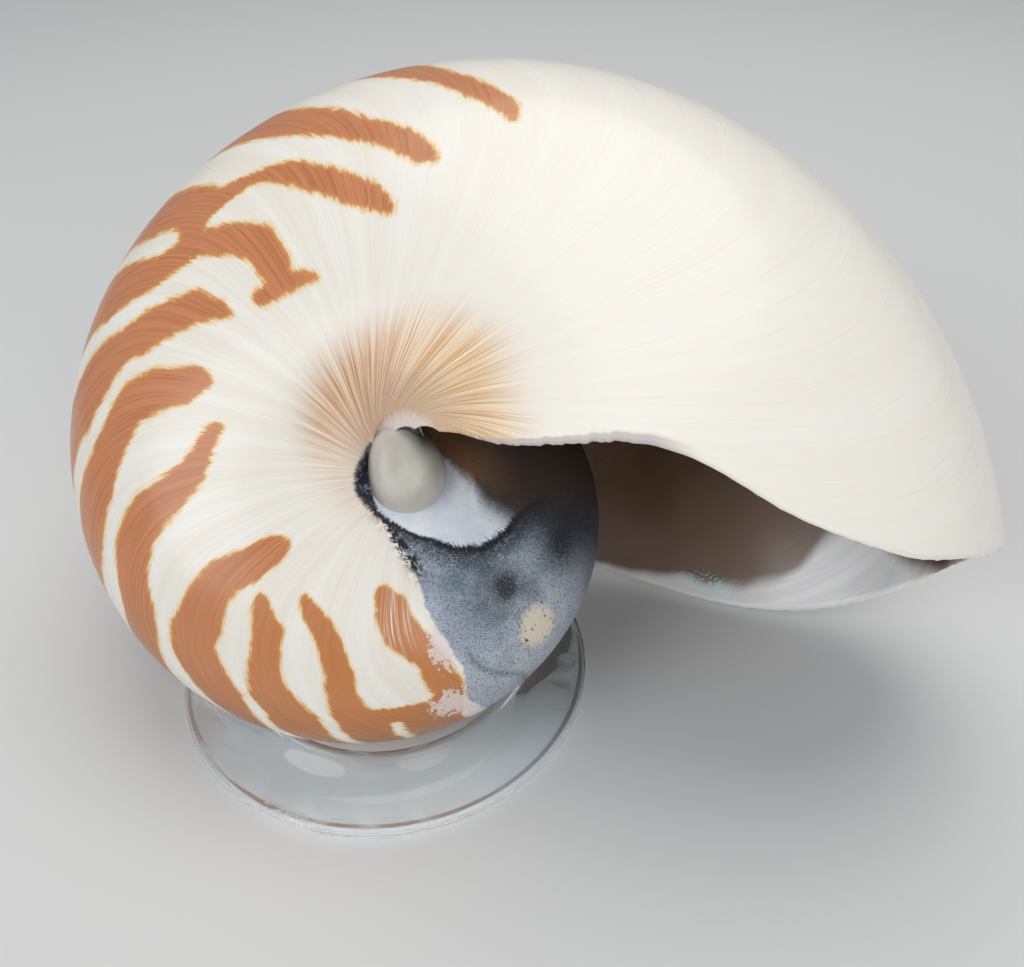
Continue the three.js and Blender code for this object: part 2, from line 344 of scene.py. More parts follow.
# Markings, as fields over growth angle and place on the flank. Each stripe is a line of
# (growth angle, place, half width in degrees), drawn from the keel towards the umbilicus.
STRIPES = [
    [(254, 0, 4.5), (262, 0.1, 4.2), (268.3, 0.2, 3.8), (272.4, 0.26, 3), (277.2, 0.31, 2.5),
     (283.4, 0.36, 2.4), (288.7, 0.4, 1.9), (291, 0.425, 0.6)],
    [(231, 0, 5.5), (239, 0.1, 5.5), (246, 0.2, 5.2), (249.7, 0.26, 4.6), (253.5, 0.31, 4.2),
     (258.5, 0.36, 3.7), (264, 0.41, 2.8), (271, 0.45, 2.9), (276, 0.485, 2.5), (279, 0.5, 1)],
    [(212, 0, 5), (219, 0.1, 5), (225.7, 0.2, 5.3), (227.6, 0.26, 5.2), (230.5, 0.31, 4.8),
     (232.4, 0.355, 5.0)],
    [(233, 0.37, 3.6), (243.2, 0.393, 1.7), (249.2, 0.426, 2.8), (253.9, 0.468, 3), (259.9, 0.511, 3),
     (265.9, 0.541, 2.6), (270.2, 0.565, 1.3)],
    [(231.5, 0.36, 4), (226, 0.405, 3.2)],
    [(196, 0, 5.5), (203, 0.1, 5.5), (209.7, 0.2, 5.5), (212.1, 0.257, 5.3), (214.9, 0.308, 4.5),
     (218, 0.359, 3.5), (223.3, 0.393, 3.4), (228, 0.42, 3), (232.4, 0.46, 3.5), (237.7, 0.511, 4),
     (237.4, 0.553, 4.6)],
    [(229, 0.573, 2), (238, 0.588, 2.2), (246, 0.608, 0.7)],
    [(176, 0, 6), (183, 0.1, 6), (189.8, 0.2, 6), (193.6, 0.257, 6.6), (198.2, 0.308, 5.6),
     (203.2, 0.359, 3.8), (207.8, 0.409, 4.4), (212.5, 0.452, 4), (216.8, 0.485, 3.8),
     (219.5, 0.527, 2.4), (220.5, 0.545, 1)],
    [(158, 0, 3.4), (164, 0.1, 4.2), (170.2, 0.2, 5.6), (174.3, 0.257, 5.8), (178.6, 0.308, 5.2),
     (185, 0.359, 4.6), (192.5, 0.409, 4.8), (195.8, 0.46, 4.8), (197.7, 0.502, 4.4), (201, 0.536, 3)],
    [(140, 0, 4.2), (146.5, 0.1, 4.8), (150.5, 0.2, 5.1), (154.6, 0.257, 5.4), (160.6, 0.308, 5.2),
     (164.9, 0.359, 4.8), (168.5, 0.409, 4.8), (170.5, 0.46, 4.4), (174.5, 0.511, 3.8),
     (181, 0.544, 2.4), (188, 0.57, 1.6)],
    [(121, 0, 3.2), (125, 0.09, 4.6), (132, 0.2, 6.6), (137.4, 0.257, 6.5), (140.8, 0.31, 5.4),
     (142, 0.36, 5.4), (145, 0.43, 4.6), (145.5, 0.47, 5), (144, 0.51, 5.4), (142.7, 0.56, 5.2)],
    [(106, 0, 3.0), (109, 0.06, 3.8), (112.7, 0.122, 5.3), (115.1, 0.2, 5.6), (119.9, 0.257, 5.2),
     (123, 0.308, 3.9), (124.7, 0.36, 3.4), (127.8, 0.426, 3.7), (131.2, 0.45, 2.6), (134.3, 0.48, 1.3)],
    [(96, 0, 3.6), (97.2, 0.055, 4.2), (99.1, 0.122, 4.4), (100.3, 0.2, 5.6), (103.9, 0.257, 3.9),
     (105.6, 0.308, 3.4), (106.8, 0.36, 3.4), (110.4, 0.426, 3.2), (114.4, 0.468, 3),
     (119.9, 0.494, 2.3), (123.5, 0.519, 1.1)],
    [(84, 0, 6), (85.2, 0.1, 5.8), (85.2, 0.17, 7), (80, 0.25, 3.6), (82, 0.31, 4), (82.8, 0.36, 3.5),
     (86.4, 0.41, 4.5), (91.2, 0.46, 5.4), (94, 0.51, 5.4), (98, 0.55, 2.8)],
    [(84, 0.2, 5), (98, 0.22, 4)],
]


def stripe_field(degrees, place):
    """How far inside a stripe a point lies, in degrees; negative outside."""
    x, y = degrees, place * DEGREES_PER_PLACE
    field = np.full(degrees.shape, -9.0)
    for line in STRIPES:
        for (a0, p0, w0), (a1, p1, w1) in zip(line, line[1:]):
            dx, dy = a1 - a0, (p1 - p0) * DEGREES_PER_PLACE
            t = np.clip(((x - a0) * dx + (y - p0 * DEGREES_PER_PLACE) * dy) / (dx * dx + dy * dy), 0, 1)
            gap = np.hypot(x - a0 - t * dx, y - p0 * DEGREES_PER_PLACE - t * dy)
            field = np.maximum(field, w0 + (w1 - w0) * t - gap)
    return field


FILM_PLACES = [0, 0.1, 0.2, 0.3, 0.4, 0.5, 0.58, 0.65, 0.7, 0.75, 0.8, 1]
FILM_END = [74, 75, 77, 75.5, 78, 82, 84, 91, 96, 102, 114, 150]
# Where the painted shade under the growth edge ends along the flank, in degrees of growth.
SHADE_PLACES = [0, 0.22, 0.35, 0.41, 0.5, 0.53, 0.59, 0.72, 0.87, 1]
SHADE_END = [8, 11, 13, 15, 23, 22, 19, 11, -26, -45]


def flank_fields(degrees, place):
    """Fields that drive the markings: outlines measured in degrees of growth, zero at the line,
    and shares from 0 to 1. The far side's stripes are moved along and stretched a little."""
    size = np.minimum(np.abs(place), 1)
    far = place < 0
    side_shift = np.where(far, 7 * ramp(size, 0, 0.4), 0)
    side_scale = np.where(far, 1 + 0.12 * ramp(size, 0.1, 0.5), 1)
    fields = {"stripe": stripe_field(degrees + side_shift, size * side_scale)}
    film_end = smooth_knots(size, FILM_PLACES, FILM_END)
    fields["halo"] = np.clip(np.where(np.abs(place) > 1, 5, inside_halo(degrees, place)), -20, 20)
    fields["film"] = np.clip(film_end - degrees, -30, 60)
    fields["shade"] = np.clip(smooth_knots(size, SHADE_PLACES, SHADE_END) - degrees, -40, 40)
    flush_from = 0.69 + 0.01 * ramp(degrees, 200, 260) + 0.05 * ramp(degrees, 315, 350)
    around_axis = ramp(size, flush_from, flush_from + 0.15)
    swell = 0.35 + 0.65 * ramp(degrees, 150, 215)
    shelf = umbilical_shelf(degrees)
    pale = ramp(np.abs(place), 0.962 + 0.07 * shelf, 1.0 + 0.34 * shelf)
    fields["flush"] = around_axis * swell * (1 - 0.8 * pale)
    fields["rim"] = pale * ramp(degrees, 120, 165)
    fields["well"] = np.clip(np.abs(place) - 1 - 0.38 * shelf, -0.2, 1)
    return fields


def spot(angle, at, wide, high):
    """A soft round mark at a growth angle and a place, on both flanks."""
    return np.exp(-((all_degrees - angle) / wide) ** 2 - ((np.abs(all_places) - at) / high) ** 2)


all_degrees = np.concatenate([
    outer_degrees, np.repeat(outer_degrees[-1:], len(edge_rows), 0),
    lining_degrees, np.repeat(lining_degrees[-1:], len(septum_rows), 0),
])
all_places = np.broadcast_to(places, all_degrees.shape)
# How far in from the lip, in degrees, the lining's bright band of painted reflection reaches.
REFLECTION_PLACES = [0, 0.15, 0.22, 0.27, 0.33, 0.38, 0.47, 0.55, 0.62, 0.8, 1]
REFLECTION_DEPTH = [0.6, 1.0, 4.0, 8.4, 9.0, 5.6, 2.6, 1.3, 0.9, 1.0, 1.0]
fields = flank_fields(all_degrees, all_places)
fields["angle"] = growth_age(all_degrees, all_places)
fields["turn"] = all_degrees
fields["place"] = all_places
lip_gap = np.clip(FULL_TURN + lip_reach(places)[None, :] - all_degrees, 0, 400)
fields["lip_reflection"] = np.clip(smooth_knots(np.abs(all_places), REFLECTION_PLACES, REFLECTION_DEPTH) - lip_gap, -20, 20)
near = all_places > -0.05

# Marks on the near side: dark and cream spots, scratched and worn patches, flecks and a crease.
fields["dark_spot"] = near * (0.9 * spot(54, 0.425, 7.5, 0.06)
                              + 0.8 * spot(53.5, 0.415, 3, 0.028)
                              + 1.1 * spot(29, 0.32, 9, 0.08))
fields["cream_spot"] = near * spot(53, 0.235, 7.5, 0.105)
fields["worn"] = near * 1.3 * spot(93, 0.50, 4.5, 0.085)
fields["eroded"] = near * (1.2 * spot(79.5, 0.395, 3.4, 0.075)
                           + spot(81, 0.19, 5, 0.06)
                           + 0.9 * spot(76, 0.1, 3, 0.09))
film_border = 1.4 * np.exp(-(((fields["film"] - 1.2) / 3.6) ** 2)) * ramp(np.abs(all_places), 0.53, 0.64)
line_border = 0.55 * np.exp(-(((fields["halo"] + 3.5) / 4.0) ** 2)) * (1 - ramp(all_degrees, 100, 125))
fields["flecks"] = np.maximum(near * 1.25 * film_border, line_border)
broken_stretch = ramp(all_places, 0.57, 0.62) * (1 - ramp(all_places, 0.86, 0.93))
fields["chipped"] = broken_stretch * (1 - ramp(lip_gap, 0.9, 1.8))
# Painted glints on the far side's lining, just inside the lip.
fields["painted_glint"] = spot(376, 0.5, 1.6, 0.035) * (all_places < 0)
crease_at = 63 + 10 * ramp(np.abs(all_places), 0.08, 0.34)
crease = np.exp(-((all_degrees - crease_at) / 0.8) ** 2)
fields["crease"] = near * crease * (1 - ramp(np.abs(all_places), 0.33, 0.37))


def new_object(name, points, faces, smooth=True):
    """A mesh object in the scene from points in metres and lists of faces."""
    mesh = bpy.data.meshes.new(name)
    mesh.from_pydata(points.tolist(), [], faces)
    mesh.polygons.foreach_set("use_smooth", [smooth] * len(mesh.polygons))
    thing = bpy.data.objects.new(name, mesh)
    bpy.context.scene.collection.objects.link(thing)
    return thing


def store(mesh, name, values):
    """Keeps one value a vertex under a name that the materials read."""
    mesh.attributes.new(name, "FLOAT", "POINT").data.foreach_set("value", values.astype(np.float32))


rotation = np.array(Euler((TILT_BACK, LEAN, 0), "XYZ").to_matrix())
shell_points = vertices * MM @ rotation.T + np.array(ring_centre + COIL_CENTRE * MM)
quads = np.concatenate([body_faces, callus_faces])
triangles = np.concatenate([tip_faces, start_faces, callus_caps])
shell = new_object("nautilus_shell_surface", shell_points, quads.tolist() + triangles.tolist())

PORCELAIN, PEARL, ENAMEL = 0, 1, 2
row_of_face = np.arange(len(body_faces)) // columns
finish_of_face = np.concatenate([
    np.where(row_of_face < len(outer_points) + 2, PORCELAIN, PEARL),
    np.full(len(callus_faces), ENAMEL),
    np.full(len(tip_faces), PEARL),
    np.full(len(start_faces), PORCELAIN),
    np.full(len(callus_caps), ENAMEL),
]).astype(np.int32)
shell.data.polygons.foreach_set("material_index", finish_of_face)
for name, values in fields.items():
    store(shell.data, name, np.concatenate([values.ravel(), np.zeros(len(vertices) - values.size)]))
# Painted shade on the callus, stored for the callus's own points and zero everywhere else.
painted_callus_shade = np.zeros(len(vertices))
painted_callus_shade[callus_first:callus_pole] = np.concatenate([callus_shade, callus_shade[::-1]]).ravel()
store(shell.data, "callus_shade", painted_callus_shade)
shell.data.update()


def put(tree, kind, inputs=None, **settings):
    """Adds a node, sets its options, and sets or links its inputs."""
    node = tree.nodes.new(kind)
    for name, value in settings.items():
        setattr(node, name, value)
    for name, value in (inputs or {}).items():
        if isinstance(value, bpy.types.NodeSocket):
            tree.links.new(value, node.inputs[name])
        else:
            node.inputs[name].default_value = value
    return node


def attribute(tree, name):
    return put(tree, "ShaderNodeAttribute", attribute_name=name).outputs["Fac"]


def calc(tree, operation, a, b, clamp=False):
    return put(tree, "ShaderNodeMath", {0: a, 1: b}, operation=operation, use_clamp=clamp).outputs[0]


def remap(tree, value, low, high, to_low=0.0, to_high=1.0):
    inputs = {"Value": value, "From Min": low, "From Max": high, "To Min": to_low, "To Max": to_high}
    return put(tree, "ShaderNodeMapRange", inputs, interpolation_type="SMOOTHSTEP").outputs[0]


def blend(tree, share, a, b):
    """Mixes two colours, each a socket or red, green and blue shares."""
    a, b = ((*colour, 1) if isinstance(colour, tuple) else colour for colour in (a, b))
    return put(tree, "ShaderNodeMix", {0: share, 6: a, 7: b}, data_type="RGBA").outputs[2]


def noise(tree, vector, scale, detail=3.0, roughness=0.55, distortion=0.0):
    inputs = {"Vector": vector, "Scale": scale, "Detail": detail, "Roughness": roughness,
              "Distortion": distortion}
    return put(tree, "ShaderNodeTexNoise", inputs).outputs["Fac"]


def new_group(name, inputs, outputs):
    tree = bpy.data.node_groups.new(name, "ShaderNodeTree")
    for label in inputs:
        tree.interface.new_socket(label, in_out="INPUT", socket_type="NodeSocketFloat")
    for label in outputs:
        tree.interface.new_socket(label, in_out="OUTPUT", socket_type="NodeSocketFloat")
    return tree, tree.nodes.new("NodeGroupInput"), tree.nodes.new("NodeGroupOutput")


# Growth lines: streaks that run with the growth edge, fine and broad.
growth_group, given, result = new_group(
    "growth_lines", ["Angle", "Place", "Fine Pitch", "Broad Pitch"], ["Fine", "Broad"]
)
for label, along, detail in (("Fine", 3.0, 4.0), ("Broad", 1.4, 3.0)):
    streak = put(growth_group, "ShaderNodeCombineXYZ", {
        "X": calc(growth_group, "MULTIPLY", given.outputs["Angle"], given.outputs[label + " Pitch"]),
        "Y": calc(growth_group, "MULTIPLY", given.outputs["Place"], along),
    }).outputs[0]
    growth_group.links.new(noise(growth_group, streak, 1.0, detail, 0.6), result.inputs[label])

# Ragged edge: turns a field that is zero at an outline into a mask with a wandering edge.
ragged_group, given, result = new_group(
    "ragged_edge", ["Field", "Wander", "Grain", "Softness"], ["Mask", "Field"]
)
place_coordinate = put(ragged_group, "ShaderNodeTexCoord").outputs["Object"]
coarse = noise(ragged_group, place_coordinate, given.outputs["Grain"], 5.0, 0.62)
swing = calc(ragged_group, "MULTIPLY", calc(ragged_group, "SUBTRACT", coarse, 0.5), given.outputs["Wander"])
wandered = calc(ragged_group, "ADD", given.outputs["Field"], swing)
low = calc(ragged_group, "MULTIPLY", given.outputs["Softness"], -1.0)
edge_mask = put(ragged_group, "ShaderNodeMapRange", {
    "Value": wandered, "From Min": low, "From Max": given.outputs["Softness"], "To Min": 0.0, "To Max": 1.0,
}, interpolation_type="SMOOTHSTEP").outputs[0]
ragged_group.links.new(edge_mask, result.inputs["Mask"])
ragged_group.links.new(wandered, result.inputs["Field"])


def new_material(name):
    material = bpy.data.materials.new(name)
    material.use_nodes = True
    tree = material.node_tree
    return material, tree, tree.nodes["Principled BSDF"]


def relief(tree, surface, height, strength, distance):
    """Bumps a surface by a height, over a distance in metres."""
    bump = put(tree, "ShaderNodeBump", {"Height": height, "Strength": strength, "Distance": distance})
    tree.links.new(bump.outputs[0], surface.inputs["Normal"])


def times(tree, a, b, clamp=False):
    return calc(tree, "MULTIPLY", a, b, clamp=clamp)


def roughened(tree, field, grain, amount):
    """Adds a noise, centred on zero, to a field, so that its outline wanders."""
    return calc(tree, "ADD", field, times(tree, calc(tree, "SUBTRACT", grain, 0.5), amount))


def growth_streaks(tree, fine_pitch, broad_pitch):
    return put(tree, "ShaderNodeGroup", {
        "Angle": attribute(tree, "angle"), "Place": attribute(tree, "place"),
        "Fine Pitch": fine_pitch, "Broad Pitch": broad_pitch,
    }, node_tree=growth_group).outputs


def ragged_outline(tree, field, wander, grain, softness):
    return put(tree, "ShaderNodeGroup", {
        "Field": field, "Wander": wander, "Grain": grain, "Softness": softness,
    }, node_tree=ragged_group).outputs


def cream_wall(tree, fine, broad):
    """Cream porcelain with pale and ochre growth lines and fine white hairs, whiter with age."""
    colour = blend(tree, remap(tree, broad, 0.35, 0.68), (0.86, 0.82, 0.73), (0.91, 0.89, 0.84))
    colour = blend(tree, remap(tree, fine, 0.52, 0.72, 0, 0.35), colour, (0.97, 0.96, 0.93))
    hairs = growth_streaks(tree, 4.5, 0.6)
    hair = times(tree, remap(tree, hairs["Fine"], 0.60, 0.67), remap(tree, hairs["Broad"], 0.48, 0.62))
    colour = blend(tree, times(tree, hair, 0.6), colour, (1.0, 0.99, 0.97))
    colour = blend(tree, remap(tree, fine, 0.46, 0.30, 0, 0.13), colour, (0.76, 0.62, 0.42))
    ripe = remap(tree, attribute(tree, "turn"), 235.0, 320.0)
    return blend(tree, times(tree, ripe, 0.75), colour, (0.95, 0.92, 0.86))


def umbilical_flush(tree, colour, fine, cloud):
    """Tawny streaks round the umbilicus, golden by the mouth, pale at the rim and broken edge."""
    gaps = calc(tree, "ADD", 0.5, times(tree, remap(tree, fine, 0.60, 0.42), 0.5))
    flush = times(tree, attribute(tree, "flush"), gaps)
    flush = times(tree, flush, remap(tree, cloud, 0.25, 0.6, 0.8, 1.0))
    streaks = remap(tree, fine, 0.44, 0.56)
    tawny = blend(tree, streaks, (0.56, 0.27, 0.12), (0.80, 0.50, 0.24))
    golden = blend(tree, streaks, (0.70, 0.38, 0.13), (0.92, 0.66, 0.31))
    peach = blend(tree, remap(tree, attribute(tree, "turn"), 255.0, 320.0), tawny, golden)
    inner = remap(tree, attribute(tree, "place"), 0.84, 0.98, 0.0, 0.5)
    peach = blend(tree, inner, peach, (0.46, 0.25, 0.16))
    colour = blend(tree, flush, colour, peach)
    colour = blend(tree, times(tree, attribute(tree, "rim"), 0.7), colour, (0.76, 0.70, 0.69))
    return blend(tree, times(tree, attribute(tree, "chipped"), 0.75), colour, (0.50, 0.455, 0.45))


def rust_stripes(tree, colour, fine, cloud):
    """Rust-brown stripes with ochre fringes, deeper in colour on the oldest part, and darkened by painted
    shade near the keel on the older half turn.
    """
    field = roughened(tree, attribute(tree, "stripe"), fine, 3.0)
    stripe = ragged_outline(tree, field, 2.2, 420.0, 0.45)
    fringe = remap(tree, stripe["Field"], -1.3, 0.2, 0.0, 0.85)
    colour = blend(tree, fringe, colour, (0.86, 0.55, 0.15))
    rust = blend(tree, remap(tree, fine, 0.34, 0.64), (0.50, 0.175, 0.07), (0.64, 0.26, 0.12))
    rust = blend(tree, remap(tree, cloud, 0.4, 0.65, 0.0, 0.5), rust, (0.60, 0.255, 0.13))
    rust = blend(tree, remap(tree, stripe["Field"], 1.2, 0.2, 0.0, 0.55), rust, (0.66, 0.28, 0.075))
    turn = attribute(tree, "turn")
    rust = blend(tree, remap(tree, turn, 160.0, 90.0, 0.0, 0.75), rust, (0.56, 0.225, 0.065))
    # Painted shade: the stripes turn dark brown towards the keel on the older half turn.
    keel_shade = remap(tree, attribute(tree, "place"), 0.30, 0.02, 0.0, 0.65)
    rust = blend(tree, times(tree, keel_shade, remap(tree, turn, 190.0, 130.0)), rust, (0.30, 0.115, 0.035))
    worn = times(tree, attribute(tree, "worn"), remap(tree, fine, 0.50, 0.62))
    rust = blend(tree, worn, rust, (0.90, 0.76, 0.70))
    return blend(tree, stripe["Mask"], colour, rust)


def eroded_patches(tree, colour, fleck):
    """Pinkish white patches where the stripes have worn away beside the film."""
    worn_off = attribute(tree, "eroded")
    pits = roughened(tree, worn_off, fleck, 3.0)
    eroded = times(tree, remap(tree, pits, 0.42, 0.62), remap(tree, worn_off, 0.12, 0.3))
    return blend(tree, times(tree, eroded, 0.85), colour, (0.80, 0.70, 0.68))


def film_colour(tree, grain, patch, fleck):
    """Blue-grey film, speckled, sooty by the black line, with dark spots and a cream stain."""
    place = attribute(tree, "place")
    film = blend(tree, remap(tree, patch, 0.36, 0.62), (0.16, 0.215, 0.285), (0.45, 0.52, 0.61))
    film = blend(tree, remap(tree, attribute(tree, "film"), 16.0, 3.0, 0.0, 0.6), film, (0.46, 0.52, 0.62))
    by_line = remap(tree, attribute(tree, "halo"), -15.0, -4.0)
    soot = remap(tree, calc(tree, "ADD", grain, times(tree, by_line, -0.08)), 0.50, 0.42)
    film = blend(tree, times(tree, times(tree, soot, by_line), 0.75), film, (0.03, 0.038, 0.05))
    film = blend(tree, remap(tree, place, 0.46, 0.22, 0.0, 0.45), film, (0.58, 0.62, 0.68))
    film = blend(tree, remap(tree, attribute(tree, "turn"), 46.0, 20.0), film, (0.026, 0.032, 0.046))
    film = blend(tree, remap(tree, grain, 0.50, 0.40, 0.0, 0.75), film, (0.035, 0.045, 0.065))
    film = blend(tree, remap(tree, grain, 0.60, 0.70, 0.0, 0.6), film, (0.66, 0.74, 0.84))
    bruise = times(tree, attribute(tree, "dark_spot"), remap(tree, grain, 0.64, 0.52, 0.4, 1.0), clamp=True)
    film = blend(tree, bruise, film, (0.02, 0.025, 0.032))
    cream = attribute(tree, "cream_spot")
    stain = remap(tree, roughened(tree, cream, fleck, 1.1), 0.45, 0.72)
    film = blend(tree, times(tree, stain, 0.92), film, (0.80, 0.71, 0.58))
    specks = times(tree, remap(tree, cream, 0.25, 0.5), remap(tree, fleck, 0.60, 0.63))
    film = blend(tree, specks, film, (0.10, 0.055, 0.035))
    return blend(tree, times(tree, attribute(tree, "crease"), 0.6), film, (0.06, 0.07, 0.08))


def callus_patch(tree, colour, grain, patch, fleck):
    """The pearly white patch round the callus and the black line that bounds it, which widens
    into a scratched black crescent beside the umbilicus."""
    turn = attribute(tree, "turn")
    teeth = growth_streaks(tree, 3.2, 0.22)["Fine"]
    halo_at = ragged_outline(tree, roughened(tree, attribute(tree, "halo"), teeth, 8.0), 4.0, 1100.0, 0.6)
    halo = blend(tree, remap(tree, patch, 0.35, 0.65), (0.72, 0.80, 0.96), (0.90, 0.95, 1.0))
    halo = blend(tree, remap(tree, grain, 0.56, 0.68, 0.0, 0.7), halo, (1.0, 1.0, 1.0))
    # The pale patch is left out under the growth edge, where the painted shade lies over it.
    past_mouth = calc(tree, "ADD", turn, remap(tree, attribute(tree, "place"), 0.58, 0.78, 0.0, 70.0))
    lit = times(tree, remap(tree, turn, 190.0, 160.0), remap(tree, past_mouth, 24.0, 42.0))
    colour = blend(tree, times(tree, halo_at["Mask"], lit), colour, halo)
    line = times(tree, remap(tree, halo_at["Field"], -4.2, -1.6), remap(tree, turn, 215.0, 190.0))
    crescent = remap(tree, turn, 108.0, 140.0, 0.0, 6.0)
    inner_side = calc(tree, "SUBTRACT", halo_at["Field"], crescent)
    line = times(tree, line, remap(tree, inner_side, 1.2, -0.2))
    scratch = times(tree, remap(tree, turn, 108.0, 140.0), remap(tree, fleck, 0.55, 0.60))
    ink = blend(tree, scratch, (0.006, 0.008, 0.014), (0.20, 0.25, 0.36))
    return blend(tree, times(tree, line, 0.97), colour, ink)


def mouth_shade(tree, colour, fleck):
    """Painted shade under the growth edge: brown that deepens under it, with dark dots along its border."""
    reach = attribute(tree, "shade")
    shade = remap(tree, roughened(tree, reach, fleck, 14.0), -15.0, 6.0)
    by_axis = remap(tree, attribute(tree, "place"), 0.45, 0.8)
    brown = blend(tree, by_axis, (0.045, 0.032, 0.026), (0.25, 0.135, 0.070))
    # Painted shade: brown laid over the flank where the growth edge overhangs it.
    colour = blend(tree, shade, colour, brown)
    dots = times(tree, remap(tree, reach, -24.0, -8.0), remap(tree, fleck, 0.62, 0.65))
    return blend(tree, times(tree, dots, 0.8), colour, (0.05, 0.028, 0.018))


def umbilical_well(tree, colour, fleck):
    """The wall down into the umbilicus: brown, and scratched black beside the crescent."""
    turn = attribute(tree, "turn")
    scratched = blend(tree, remap(tree, fleck, 0.53, 0.60), (0.010, 0.014, 0.026), (0.22, 0.27, 0.38))
    in_crescent = times(tree, remap(tree, turn, 110.0, 130.0), remap(tree, turn, 225.0, 205.0))
    well = blend(tree, in_crescent, (0.035, 0.026, 0.022), scratched)
    return blend(tree, remap(tree, attribute(tree, "well"), 0.0, 0.03), colour, well)


def striped_porcelain():
    """The outer wall: cream, flushed at the umbilicus, striped, with the film and its patch."""
    material, tree, surface = new_material("striped_porcelain")
    lines = growth_streaks(tree, 1.6, 0.22)
    fine, broad = lines["Fine"], lines["Broad"]
    spot_at = put(tree, "ShaderNodeTexCoord").outputs["Object"]
    cloud = noise(tree, spot_at, 28.0, 4.0)
    grain = noise(tree, spot_at, 3400.0, 4.0, 0.75)
    patch = noise(tree, spot_at, 120.0, 5.0, 0.6)
    fleck = noise(tree, spot_at, 900.0, 4.0, 0.7)

    colour = cream_wall(tree, fine, broad)
    colour = umbilical_flush(tree, colour, fine, cloud)
    colour = rust_stripes(tree, colour, fine, cloud)
    colour = eroded_patches(tree, colour, fleck)
    film_mask = ragged_outline(tree, attribute(tree, "film"), 3.0, 480.0, 0.5)["Mask"]
    colour = blend(tree, film_mask, colour, film_colour(tree, grain, patch, fleck))
    flecks = times(tree, attribute(tree, "flecks"), remap(tree, fleck, 0.470, 0.495), clamp=True)
    colour = blend(tree, flecks, colour, (0.014, 0.014, 0.018))
    colour = callus_patch(tree, colour, grain, patch, fleck)
    colour = mouth_shade(tree, colour, fleck)
    colour = umbilical_well(tree, colour, fleck)
    tree.links.new(colour, surface.inputs["Base Color"])

    rough = calc(tree, "ADD", remap(tree, fine, 0.3, 0.7, 0.26, 0.36), times(tree, film_mask, 0.16))
    tree.links.new(rough, surface.inputs["Roughness"])
    surface.inputs["IOR"].default_value = 1.42
    gloss = remap(tree, attribute(tree, "film"), -3.0, 3.0, 0.2, 0.04)
    tree.links.new(gloss, surface.inputs["Coat Weight"])
    surface.inputs["Coat Roughness"].default_value = 0.12
    surface.inputs["Subsurface Weight"].default_value = 0.08
    surface.inputs["Subsurface Radius"].default_value = (0.004, 0.0028, 0.0018)
    height = calc(tree, "ADD", times(tree, fine, 0.7), times(tree, broad, 1.2))
    height = times(tree, height, remap(tree, attribute(tree, "turn"), 235.0, 320.0, 1.0, 0.35))
    height = calc(tree, "ADD", height, times(tree, times(tree, grain, film_mask), 0.6))
    relief(tree, surface, height, 0.17, 0.0004)
    return material


def mother_of_pearl():
    """The lining: nacre painted brown deep inside as shade, pale by the lip, where its colour is brightened
    as a painted reflection, and faintly iridescent there.
    """
    material, tree, surface = new_material("mother_of_pearl")
    spot_at = put(tree, "ShaderNodeTexCoord").outputs["Object"]
    lines = growth_streaks(tree, 0.5, 0.09)
    cloud = noise(tree, spot_at, 45.0, 2.0, 0.5, 0.2)
    edge_at = roughened(tree, roughened(tree, attribute(tree, "lip_reflection"), cloud, 7.0), lines["Broad"], 3.0)
    near_lip = remap(tree, edge_at, -1.5, 1.6)
    # Painted shade: the nacre is darkened to brown deep inside the chamber.
    colour = blend(tree, remap(tree, cloud, 0.35, 0.65), (0.145, 0.085, 0.052), (0.185, 0.112, 0.072))
    # The nacre's pale colour, brightened to near white as a painted reflection in a band by the lip.
    lip_reflection = blend(tree, remap(tree, lines["Fine"], 0.4, 0.6), (0.86, 0.85, 0.84), (1.0, 1.0, 1.0))
    colour = blend(tree, near_lip, colour, lip_reflection)
    sheen = noise(tree, spot_at, 260.0, 2.0, 0.5, 1.2)
    colour = blend(tree, times(tree, near_lip, 0.2), colour, rainbow(tree, sheen))
    # Painted glints: small blue-green highlights on the lining by the lip.
    glint = noise(tree, spot_at, 1500.0, 2.0, 0.6)
    glints = times(tree, attribute(tree, "painted_glint"), remap(tree, glint, 0.52, 0.6))
    colour = blend(tree, glints, colour, (0.45, 0.95, 0.98))
    tree.links.new(colour, surface.inputs["Base Color"])
    tree.links.new(remap(tree, cloud, 0.3, 0.7, 0.22, 0.34), surface.inputs["Roughness"])
    surface.inputs["Coat Weight"].default_value = 0.5
    surface.inputs["Coat Roughness"].default_value = 0.15
    relief(tree, surface, lines["Fine"], 0.12, 0.0004)
    return material


def rainbow(tree, sheen):
    """The faint colours of nacre: warm grey, green, lilac and rose along a noise."""
    tint = put(tree, "ShaderNodeValToRGB", {"Fac": sheen})
    bands = tint.color_ramp.elements
    bands[0].position, bands[0].color = 0.42, (0.70, 0.68, 0.65, 1)
    bands[1].position, bands[1].color = 0.62, (0.72, 0.66, 0.68, 1)
    for at, shade in ((0.50, (0.45, 0.72, 0.72, 1)), (0.56, (0.62, 0.60, 0.78, 1))):
        bands.new(at).color = shade
    return tint.outputs[0]


